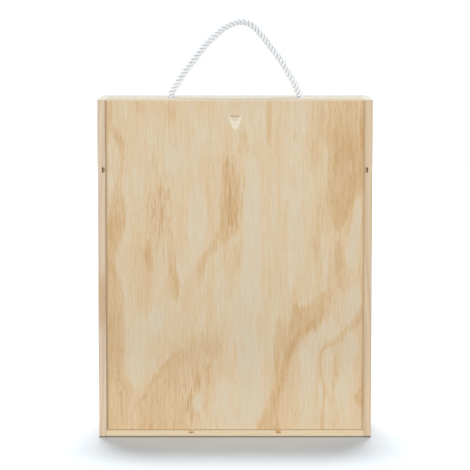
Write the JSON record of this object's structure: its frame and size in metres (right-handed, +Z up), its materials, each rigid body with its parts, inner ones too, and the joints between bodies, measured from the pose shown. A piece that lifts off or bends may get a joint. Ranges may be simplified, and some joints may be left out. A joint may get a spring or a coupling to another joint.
{
  "type": "wine box",
  "caption": "Upright pine box with a plywood lid that slides up in grooves, dividers and a neck rest inside, and a rope handle through its top board.",
  "frame": {"origin": "middle of the base, on the surface that the box stands on", "axes": "+Z up, -Y out through the sliding lid, +X to the right as the lid is faced"},
  "size_m": [0.29, 0.11, 0.4458],
  "materials": {
    "pine_board": "planed bare pine with straight grain",
    "pine_plywood": "sanded bare pine plywood, rotary cut",
    "insert_plywood": "sanded bare plywood",
    "rope": "soft white twisted cotton rope",
    "brad_steel": "bright wire"
  },
  "bodies": {
    "root": {"side_left": "pine_board", "side_right": "pine_board", "bottom_board": "pine_board", "top_board": "pine_board", "back_panel": "pine_plywood", "divider_left": "insert_plywood", "divider_right": "insert_plywood", "neck_rest": "insert_plywood", "corner_brads": "brad_steel", "rope_end_left": "rope", "rope_end_right": "rope"},
    "sliding_lid": {"lid": "pine_plywood"},
    "rope_handle": {"handle_rope": "rope"}
  },
  "joints": [
    {"name": "lid_slide", "type": "slide", "parent": "root", "child": "sliding_lid", "axis": [0, 0, 1], "range_m": [0, 0.36]},
    {"name": "handle_swing", "type": "hinge", "parent": "root", "child": "rope_handle", "pos_m": [0, 0, 0.3643], "axis": [1, 0, 0], "range_deg": [-85, 30]}
  ]
}
